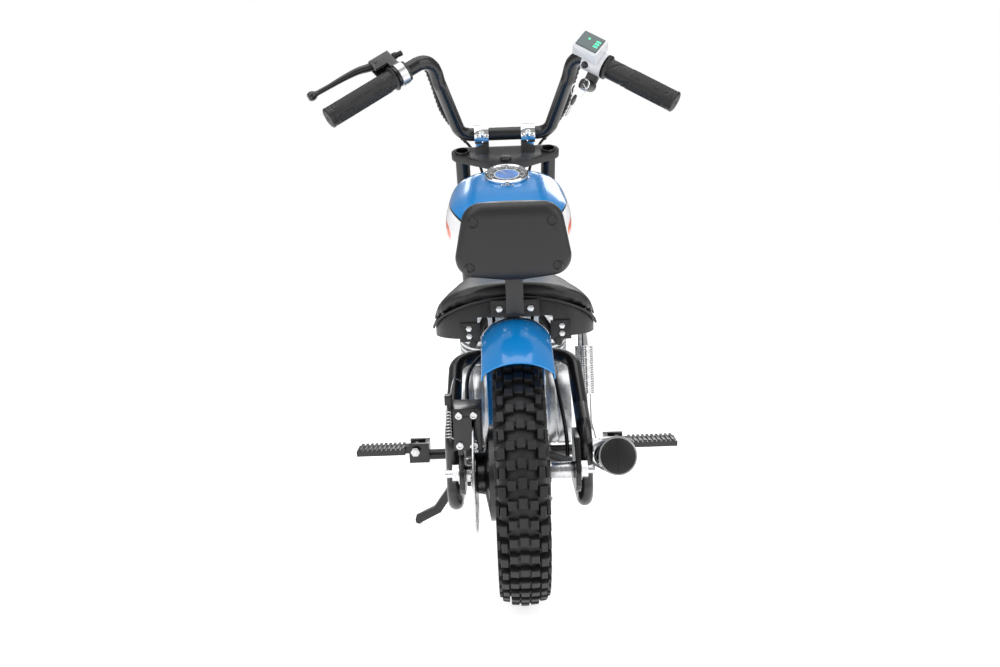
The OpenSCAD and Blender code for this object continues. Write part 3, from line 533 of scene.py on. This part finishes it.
def dial():
    put(lathe("dial_collar", [(30, -14), (36, -12), (36.5, -2), (35, 0), (30, 0)], DIAL, M["chrome"]),
        "dial_base", replaces=True)
    rim = [(31.2, 2.0), (31.2, 6.0), (31.8, 7.2), (33.2, 8.0), (34.9, 7.2), (35.6, 5.4), (35.4, 2.4), (34.4, 1.0)]
    put(lathe("dial_rim", rim, DIAL, M["chrome"]), "dial_lid", replaces=True)
    put(lathe("dial_face", [(0.1, 1.2), (31.3, 1.2), (31.3, 4.0), (0.1, 4.0)], DIAL, M["plastic"]), "dial_lid")
    put(lathe("dial_centre", [(0.1, 3.9), (19, 3.9), (19, 4.5), (0.1, 4.6)], DIAL, M["dial_blue"]), "dial_lid")
    put(lathe("dial_inner_ring", [(19.0, 3.9), (19.0, 4.9), (20.2, 4.9), (20.2, 3.9)], DIAL, M["white"]), "dial_lid")
    for k in range(40):
        turn = DIAL @ Matrix.Rotation(2 * math.pi * k / 40, 4, "Z")
        long = 5.0 if k % 4 == 0 else 2.4
        wide = 1.3 if k % 4 == 0 else 0.7
        put(block(f"dial_mark_{k:02d}", (wide, long, 0.5), turn @ at(0, 29.5 - long / 2, 4.1), M["white"], 0.1, 1),
            "dial_lid")
        if k % 4 == 0:
            put(block(f"dial_dot_{k:02d}", (2.0, 1.4, 0.4), turn @ at(0, 22.6, 4.1), M["white"], 0.1, 1),
                "dial_lid")
    needle = DIAL @ Matrix.Rotation(math.radians(38), 4, "Z")
    put(block("dial_needle", (0.9, 18, 0.5), needle @ at(0, 8, 5.1), M["white"], 0.2, 1), "dial_lid")
    put(lathe("dial_glass", [(0.1, 6.6), (12, 6.5), (24, 6.1), (31.3, 5.4), (31.3, 5.0), (0.1, 6.2)], DIAL, M["glass"]),
        "dial_lid")
    put(block("dial_tab", (8, 9, 4), DIAL @ at(0, -40, 3.4), M["chrome"], 1.4, 3), "dial_lid")
    for s in (-1, 1):
        hinge = block(f"dial_hinge_{'lr'[s > 0]}", (3.6, 8, 7), DIAL @ at(8 * s, -41, 1.6), M["chrome"], 1.2, 3)
        put(hinge, "dial_base")
    put(lathe("charge_socket", [(7, -17), (9, -17), (9, -6), (7, -6)], DIAL, M["plastic"]), "dial_base")


# ---- rear fender ----


def fender():
    """A crowned strip over the rear tyre with a short straight skirt on each side."""
    section = [(-39.5, 159.5), (-39.5, 163.5)]
    for k in range(25):
        t = math.radians(-50 + 100 * k / 24)
        section.append((51 * math.sin(t), 135 + 51 * math.cos(t)))
    section += [(39.5, 163.5), (39.5, 159.5)]
    from_a, to_a = math.radians(-5), math.radians(123)
    rows, columns = 84, len(section)
    verts = []
    for i in range(rows + 1):
        a = from_a + (to_a - from_a) * i / rows
        verts += [REAR + mm(x, r * math.cos(a), r * math.sin(a)) for x, r in section]
    obj = make("fender_shell", verts, rings_to_faces(rows + 1, columns, wrap_columns=False), M["blue"], 180)
    bpy.context.view_layer.objects.active = obj
    thick = obj.modifiers.new("thick", "SOLIDIFY")
    thick.thickness = 1.8 * MM
    thick.offset = -1
    bpy.ops.object.modifier_apply(modifier=thick.name)
    bev = obj.modifiers.new("bev", "BEVEL")
    bev.width = 0.5 * MM
    bev.segments = 2
    bev.limit_method = "ANGLE"
    bev.angle_limit = math.radians(50)
    bpy.ops.object.modifier_apply(modifier=bev.name)
    smooth(obj, 50)
    put(obj, "rear_fender", replaces=True)


# ---- seat and backrest ----


def shrunk_copy(node, name, shrink, mat):
    mesh = frame["nodes"][node].data.copy()
    obj = bpy.data.objects.new(name, mesh)
    bpy.context.collection.objects.link(obj)
    low, high = (Vector(c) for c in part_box(node))
    size = high - low
    mid = (low + high) / 2
    for v in mesh.vertices:
        for i in range(3):
            v.co[i] = mid[i] + (v.co[i] - mid[i]) * (1 - 2 * shrink * MM / size[i])
    mesh.materials.clear()
    mesh.materials.append(mat)
    return obj


def hull_line(circles, inset=0.0, steps=96, gap=6.0):
    """The outline round a set of (x, y, radius) circles, in mm, with its straight runs divided."""
    corners = []
    for k in range(steps):
        n = Vector((math.cos(2 * math.pi * k / steps), math.sin(2 * math.pi * k / steps)))
        x, y, r = max(circles, key=lambda c: c[0] * n.x + c[1] * n.y + c[2])
        corners.append(Vector((x, y)) + n * (r - inset))
    out = []
    for a, b in zip(corners, corners[1:] + corners[:1]):
        parts = max(1, math.ceil((b - a).length / gap))
        out += [a.lerp(b, k / parts) for k in range(parts)]
    return out


def seat():
    cushion = inflate(shrunk_copy("seat_cushion", "seat_cover", 3.0, M["vinyl"]), 5.0, 5.0)
    put(cushion, "seat_cushion", replaces=True)
    edge = hull_line([(-54, -324, 45), (54, -324, 45), (-28, -150, 24), (28, -150, 24)], 0.6)
    verts, sides = [], 10
    for p in edge:
        out = Vector((p.x, p.y + 250)).normalized()
        z = 319.5 + 44 * math.sqrt(max(0.0, 1 - (p.x / 99) ** 2))
        for k in range(sides):
            a = 2 * math.pi * k / sides
            verts.append(mm(p.x + out.x * 1.7 * math.cos(a), p.y + out.y * 1.7 * math.cos(a), z + 1.7 * math.sin(a)))
    put(make("seat_piping", verts, rings_to_faces(len(edge), sides, wrap_rows=True), M["vinyl"], 60), "seat_cushion")
    soften("seat_pan", M["shell"], 1.5)
    soften("seat_brackets", M["grey_plate"], 0.5)


def backrest():
    rows = [(0.6, -3.0), (0.0, -6.0), (0.4, -10.0), (1.8, -13.5), (4.4, -16.2), (8.0, -17.8), (13, -18.6), (20, -19.0)]
    shape = [(-43, 26, 22), (43, 26, 22), (-33, 64, 24), (33, 64, 24), (-10, 12, 12), (10, 12, 12)]
    verts = []
    for inset, y in rows:
        ring = hull_line(shape, min(inset, 11.5), gap=1e6)
        shrink = 1 - max(0.0, inset - 11.5) / 60
        verts += [BACKREST @ mm(p.x * shrink, y, 46 + (p.y - 46) * shrink) for p in ring]
    put(make("backrest_cover", verts, rings_to_faces(len(rows), len(verts) // len(rows), cap=True), M["shell"], 60),
        "backrest_shell", replaces=True)
    for x, z in ((-49, 18), (49, 18), (-43, 68), (43, 68)):
        spot = BACKREST @ at(x, -16.3, z) @ Matrix.Rotation(math.pi / 2, 4, "X")
        name = f"{'lr'[x > 0]}_{z}"
        put(lathe("backrest_recess_" + name, [(3.4, -2.0), (3.6, 3.2), (4.6, 3.7), (5.6, 2.4), (5.8, -2.0)],
                  spot, M["shell"], steps=32), "backrest_shell")
        # Each hole is a flat black disc on the shell face inside its raised ring: painted shade in place of a real
        # hole's depth.
        put(lathe("backrest_hole_shade_" + name, [(0.1, 3.0), (3.5, 3.0), (3.5, -2.0), (0.1, -2.0)], spot, M["cable"],
                  steps=32), "backrest_shell")
    pad = inflate(shrunk_copy("backrest_pad", "backrest_cushion", 3.0, M["vinyl"]), 4.0, 5.0)
    put(pad, "backrest_pad", replaces=True)
    soften("backrest_bar", M["black_paint"], 0.7)


# ---- controls ----


def grip(name, place, node, twist):
    """A moulded grip: a flange, raised pads along it, and a rounded end with a small hole."""
    start, end, sides, rows = 58.0, GRIP_LEN / MM + 2, 96, 110
    pad_middle, pad_half = (0.62, 0.28) if twist else (0.53, 0.4)
    verts = []
    for i in range(rows + 1):
        s = start + (end - start) * i / rows
        flange = 4.2 * math.exp(-((s - start - 2) / 2.2) ** 4) + 1.2 * math.exp(-((s - end + 3) / 2.6) ** 4)
        for k in range(sides):
            a = 2 * math.pi * k / sides
            r = 14.6 + flange
            share = (s - start) / (end - start)
            if twist and 0.06 < share < 0.34:
                r += 0.5 - 0.9 * (math.sin(2 * a + s * 0.16) > 0.94)
            elif 0.1 < share < 0.95:
                across = (a / (math.pi / 2)) % 1 - 0.5
                inside = abs(across / 0.36) ** 4 + abs((share - pad_middle) / pad_half) ** 4
                r += 1.2 if inside < 0.75 else (0.2 if inside < 1.0 else 0.9)
                if inside < 0.6 and abs((across * 12) % 1 - 0.5) < 0.12:
                    r -= 0.5
            if i in (0, rows):
                r -= 1.0
            verts.append(place @ mm(r * math.cos(a), r * math.sin(a), s))
    faces = rings_to_faces(rows + 1, sides)
    last = len(verts)
    for r in (11, 3.0):
        for k in range(sides):
            a = 2 * math.pi * k / sides
            verts.append(place @ mm(r * math.cos(a), r * math.sin(a), end + (0.4 if r > 5 else -0.4)))
    for ring in (0, 1):
        base = last - sides + ring * sides
        for k in range(sides):
            faces.append((base + k, base + (k + 1) % sides, base + sides + (k + 1) % sides, base + sides + k))
    obj = make(name, verts, faces, M["rubber"], 50)
    put(obj, node, replaces=True)
    # The end hole is only a shallow dip floored with a disc in a darker black than the rubber: painted shade for a
    # deeper hole.
    hole = [(0.1, end - 2), (3.1, end - 2), (3.1, end - 0.8), (0.1, end - 0.8)]
    put(lathe(name + "_end_hole_shade", hole, place, M["cable"], steps=32), node)


def brake_lever():
    corners = [(0, 38, 62), (0, 42, 78), (0, 47, 95), (0, 49, 120), (0, 49.5, 150), (0, 51, 182)]
    line = [LEVER @ (c * MM) for c in curve_points([Vector(c) for c in corners], 10)]

    def shape(share, a, walked):
        blade = 7.4 - 3.6 * min(1.0, share / 0.7) ** 0.7
        ball = 3.4 * math.exp(-((share - 0.95) / 0.05) ** 4)
        return (blade + ball) * MM

    put(sweep("lever_blade", line, shape, M["black_paint"], sides=20), "brake_lever", replaces=True)
    put(lathe("lever_pivot", [(3.2, -4.9), (7, -4.9), (7, 4.9), (3.2, 4.9)],
              LEVER @ at(0, 38, 66) @ Matrix.Rotation(math.pi / 2, 4, "Y"), M["black_paint"], steps=40), "brake_lever")
    soften("lever_perch", M["black_paint"], 1.2)
    put(lathe("lever_band", [(16.1, 39), (18.2, 39.4), (18.2, 51.6), (16.1, 52)], LEVER, M["steel"]), "lever_perch")
    barrel = LEVER @ at(0, 36, 32) @ Matrix.Rotation(math.radians(-10), 4, "X")
    adjuster = [(2.6, -14), (4.2, -13), (4.2, -4), (5.4, -3.4), (5.4, 2.5), (4, 3.2), (4, 8), (2.6, 8)]
    put(lathe("cable_adjuster", adjuster, barrel, M["plastic"], steps=32), "lever_perch")


def throttle():
    soften("throttle_housing", M["housing"], 2.0, segments=3)
    face = GRIP @ Matrix.Rotation(DISPLAY_TURN, 4, "Z") @ at(-36.3, 0, 27) @ Matrix.Rotation(-math.pi / 2, 4, "Y")
    put(block("display_glass", (37, 29, 1.6), face, M["screen"], 1.2, 3), "throttle_housing")
    for k in range(3):
        bar = face @ at(11.5, -5.0 + k * 5.0, 0.9)
        put(block(f"display_bar_{k}", (7, 2.6, 0.4), bar, M["led"], 0.15, 1), "throttle_housing")
    put(block("display_sign", (3, 3, 0.3), face @ at(-4, 4, 0.9), M["led"], 0.15, 1), "throttle_housing")
    collar = [(11.6, 54), (17.6, 54.4), (18.4, 56), (18.4, 57.4), (11.6, 57.6)]
    put(lathe("throttle_collar", collar, GRIP, M["plastic"]), "throttle_housing")
    soften("mode_button", M["plastic"], 1.0)
    soften("key_lock", M["plastic"], 0.8)
    lip = [(4.4, 15.8), (4.4, 17.0), (7.6, 16.8), (8.6, 15.8)]
    put(lathe("lock_face", lip, LOCK, M["chrome"], steps=48), "key_lock")


def key():
    shaft = lathe("key_blade", [(0.1, 4.6), (3.6, 4.6), (3.6, 17.4), (0.1, 17.4)], LOCK, M["steel"], steps=24)
    put(shaft, "ignition_key", replaces=True)
    head_z, head_half = 26.5, 9.4
    verts = []
    for y in (-2.0, -1.0, 1.0, 2.0):
        scale = 0.9 if abs(y) > 1.5 else 1
        for k in range(32):
            a = 2 * math.pi * k / 32
            x = 7.6 * math.copysign(abs(math.cos(a)) ** 0.85, math.cos(a))
            verts.append(LOCK @ mm(x * scale, y, head_z + head_half * math.sin(a) * scale))
    put(make("key_head", verts, rings_to_faces(4, 32, cap=True), M["plastic"], 50), "ignition_key")
    hub = LOCK @ at(11, 0, 30)
    ring = [(11.5 + 0.8 * math.cos(2 * math.pi * k / 12), 0.8 * math.sin(2 * math.pi * k / 12)) for k in range(12)]
    put(lathe("ring_wire", ring, hub, M["chrome"], steps=64, angle=180), "key_ring", replaces=True)
    verts = [hub @ mm(x, y, z) for y in (-1.6, -0.8, 0.8, 1.6) for x, z in
             [(16 + 8.8 * math.cos(2 * math.pi * k / 32) * (0.9 if abs(y) > 1 else 1),
               6.2 * math.sin(2 * math.pi * k / 32) * (0.9 if abs(y) > 1 else 1)) for k in range(32)]]
    put(make("spare_key_head", verts, rings_to_faces(4, 32, cap=True), M["plastic"], 50), "key_ring")
    put(block("spare_key_blade", (19, 1.8, 4.6), hub @ at(33, 0, 0), M["steel"], 0.3, 1), "key_ring")


# ---- cables ----


def cables():
    bar = [(136, 40, 690), (127, 64, 687), (118, 92, 662), (106, 132, 620), (84, 176, 588), (58, 200, 556),
           (44, 190, 522), (38, 168, 492), (31, 140, 470), (30, 130, 440), (30, 112, 396), (30, 60, 386)]
    left = bar + [(30, -60, 383), (30, -112, 336), (27, -198, 289), (38, -228, 274), (56, -265, 261), (62, -300, 250),
                  (61, -348, 233)]
    right = bar + [(30, -60, 383), (30, -112, 336), (27, -198, 289), (36, -228, 268), (49, -262, 250), (54, -310, 224),
                   (58, -345, 192), (58, -366, 168)]

    def wrapped(share, a, walked):
        if walked > 0.21:
            return 2.5 * MM
        return (3.2 + 0.9 * (math.sin(a - walked * 2 * math.pi / 0.009) > 0.2)) * MM

    for name, points, side in (("brake_cable", left, -1), ("wiring_loom", right, 1)):
        line = curve_points([mm(side * x, y, z) for x, y, z in points], 30)
        obj = sweep(name, line, wrapped, M["cable"], sides=12, angle=60)
        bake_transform(obj)
        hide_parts("bar_cables", "crossing_cables", "frame_cables")
    wire = curve_points([mm(-66, -352, 262), mm(-74, -362, 268), mm(-78, -371, 256), mm(-80, -371, 240),
                         mm(-79, -372, 214), mm(-77, -371, 196)], 10)
    put(sweep("brake_inner_wire", wire, 0.9 * MM, M["steel"], sides=8), "caliper")


# ---- wheels, engine and the rest of the CAD nodes ----


def hub_details():
    for s in (-1, 1):
        for k in range(6):
            a = 2 * math.pi * k / 6
            r = 14.5 if s < 0 else 43
            place = REAR_AXLE @ Matrix.Rotation(a, 4, "Z") @ at(r, 0, -57.4 if s < 0 else 34.2)
            head = [(0.1, -0.6 * s), (2.8, -0.6 * s), (2.8, 1.2 * s), (2.2, 1.8 * s), (0.1, 1.8 * s)]
            put(lathe(f"hub_screw_{'lr'[s > 0]}_{k}", head, place, M["steel"], steps=20), "rear_rim")
    cap = [(11, 33.8), (17, 33.8), (17, 36), (14, 37), (11, 37)]
    put(lathe("hub_collar", cap, REAR_AXLE, M["rim"]), "rear_rim")


def exhaust_details():
    ring = [(20.3, -4), (22.6, -4), (22.9, -1), (22.2, 1.2), (20.6, 1.2)]
    put(lathe("muffler_ring", ring, MUFFLER, M["chrome"]), "muffler")
    plate = [(0.1, -4), (20.3, -4), (20.3, 0.2), (18, 1.0), (0.1, 1.2)]
    put(lathe("muffler_end", plate, MUFFLER, M["plastic"]), "muffler")
    put(block("muffler_seam", (0.8, 38, 0.4), MUFFLER @ at(0, 0, 1.4), M["cable"], 0.1, 1), "muffler")
    shield = [mm(109, -74.6, 244).lerp(mm(109, -90, 172.5), k / 90) for k in range(91)]

    def braid(share, a, walked):
        return (13.1 + 0.6 * (math.sin(8 * a + walked * 900) * math.sin(8 * a - walked * 900) > 0)) * MM

    put(sweep("exhaust_braid", shield, braid, M["steel"], sides=96, angle=80), "exhaust_pipe")


def caliper_details():
    """Bolt heads, a return spring and a cable barrel on the mechanical caliper."""
    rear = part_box("caliper")[0][1] / MM
    for name, x, z in (("a", -52, 232), ("b", -52, 196), ("c", -69, 232), ("d", -69, 196)):
        place = at(x, rear, z) @ Matrix.Rotation(math.pi / 2, 4, "X")
        head = [(0.1, -1), (4.4, -1), (4.4, 2.4), (3.8, 3.2), (2.2, 3.2), (2.0, 1.4), (0.1, 1.4)]
        put(lathe("caliper_bolt_" + name, head, place, M["steel"], steps=24), "caliper")
    put(block("caliper_cover", (12, 2.4, 34), at(-60.5, rear - 0.8, 214), M["black_paint"], 1.0), "caliper")
    coil = []
    for k in range(145):
        a = 2 * math.pi * k / 16
        coil.append(mm(-81 + 3.4 * math.cos(a), rear + 3 + 3.4 * math.sin(a), 204 + 34 * k / 144))
    put(sweep("caliper_spring", coil, 0.75 * MM, M["steel"], sides=8), "caliper")
    barrel = at(-61, -353, 232) @ Matrix.Rotation(-math.pi / 2, 4, "X")
    sleeve = [(2.7, 0), (5, 0.6), (5, 9), (4, 10), (4, 16), (2.7, 16)]
    put(lathe("caliper_barrel", sleeve, barrel, M["steel"], steps=24), "caliper")


FINISH = {
    "head_tube": ("black_paint", 0.5), "headset_cups": ("steel", 0.3), "backbone": ("black_paint", 0.2),
    "down_tube": ("black_paint", 0.2), "lower_rails": ("black_paint", 0.6), "upper_stays": ("black_paint", 0.1),
    "lower_stays": ("black_paint", 0.1), "dropouts": ("black_paint", 0.6), "rear_axle": ("steel", 0.6),
    "rear_axle_nuts": ("steel", 0.8), "hub_stator": ("motor", 0.5), "crankcase": ("alloy", 1.6),
    "cylinders": ("alloy", 0.8), "battery_pack": ("battery", 3.0), "controller": ("alloy", 1.5),
    "muffler": ("chrome", 0.6), "exhaust_pipe": ("chrome", 0.3), "caliper": ("black_paint", 1.2),
    "caliper_arm": ("black_paint", 0.8), "brake_pad": ("pad", 0.3), "frame_bolts": ("steel", 0.5),
    "lower_clamp": ("black_paint", 1.0), "top_clamp": ("grey_plate", 1.0), "stanchions": ("black_paint", 0.4),
    "handlebar": ("black_paint", 0.1), "riser_clamps": ("chrome", 1.0), "riser_bolts": ("chrome", 0.8),
    "fork_sliders": ("black_paint", 1.0), "fork_springs": ("steel", 0.3), "front_axle": ("steel", 0.5),
    "front_rim": ("rim", 1.0), "rear_rim": ("rim", 1.2), "brake_rotor": ("steel", 0.2),
    "side_stand": ("black_paint", 0.8), "left_footpeg": ("black_paint", 0.6), "right_footpeg": ("black_paint", 0.6),
}


def make_floor():
    lift = Matrix.Rotation(LEAN, 4, "Y")
    verts = [lift @ Vector((x, y, 0)) for x, y in ((-6, -6), (6, -6), (6, 6), (-6, 6))]
    obj = make("floor", verts, [(0, 1, 2, 3)], M["floor"])


make_camera()
make_studio()
make_materials()
tyre("rear_tyre", REAR)
tyre("front_tyre", FRONT)
tank()
dial()
fender()
seat()
backrest()
grip("left_grip_moulding", LEFT_GRIP, "left_grip", False)
grip("throttle_grip_moulding", GRIP, "throttle_grip", True)
brake_lever()
throttle()
key()
cables()
hub_details()
exhaust_details()
caliper_details()
for node, (finish, width) in FINISH.items():
    soften(node, M[finish], width)
make_floor()
